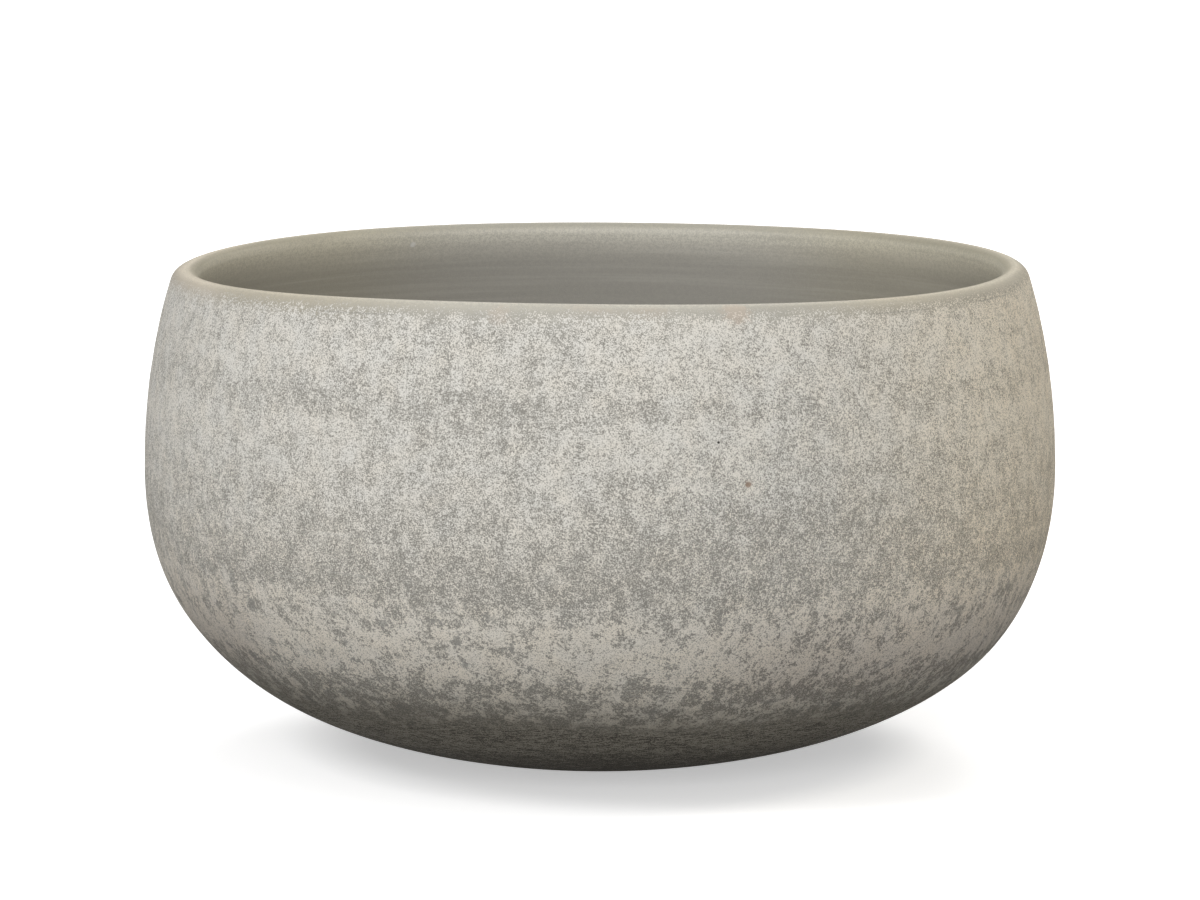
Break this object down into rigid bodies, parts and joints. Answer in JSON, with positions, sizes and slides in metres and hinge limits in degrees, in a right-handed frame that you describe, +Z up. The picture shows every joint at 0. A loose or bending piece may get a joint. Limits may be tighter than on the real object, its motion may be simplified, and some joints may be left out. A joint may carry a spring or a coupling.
{
  "type": "bowl planter",
  "caption": "Wide round bowl planter with a leaning-in shoulder, rounded rim and low turned foot, with a pull-out rubber stopper in its drain hole and small floor pads.",
  "frame": {"origin": "on the floor, under the middle of the bowl", "axes": "+Z up along the bowl's axis of revolution; -Y faces the viewer; +X to the viewer's right"},
  "size_m": [0.4, 0.4, 0.2175],
  "materials": {
    "sponged_coat": "matt concrete-look coat, sponged in pale warm grey over mid grey, smooth taupe on the rim and inside",
    "stopper_rubber": "matt moulded rubber",
    "pad_rubber": "matt foam rubber"
  },
  "bodies": {
    "planter": {"bowl": "sponged_coat", "pad_front_right": "pad_rubber", "pad_back_right": "pad_rubber", "pad_back_left": "pad_rubber", "pad_front_left": "pad_rubber"},
    "stopper": {"drain_plug": "stopper_rubber"}
  },
  "joints": [
    {"name": "stopper_lift", "type": "slide", "parent": "planter", "child": "stopper", "axis": [0, 0, 1], "range_m": [0, 0.23]}
  ]
}
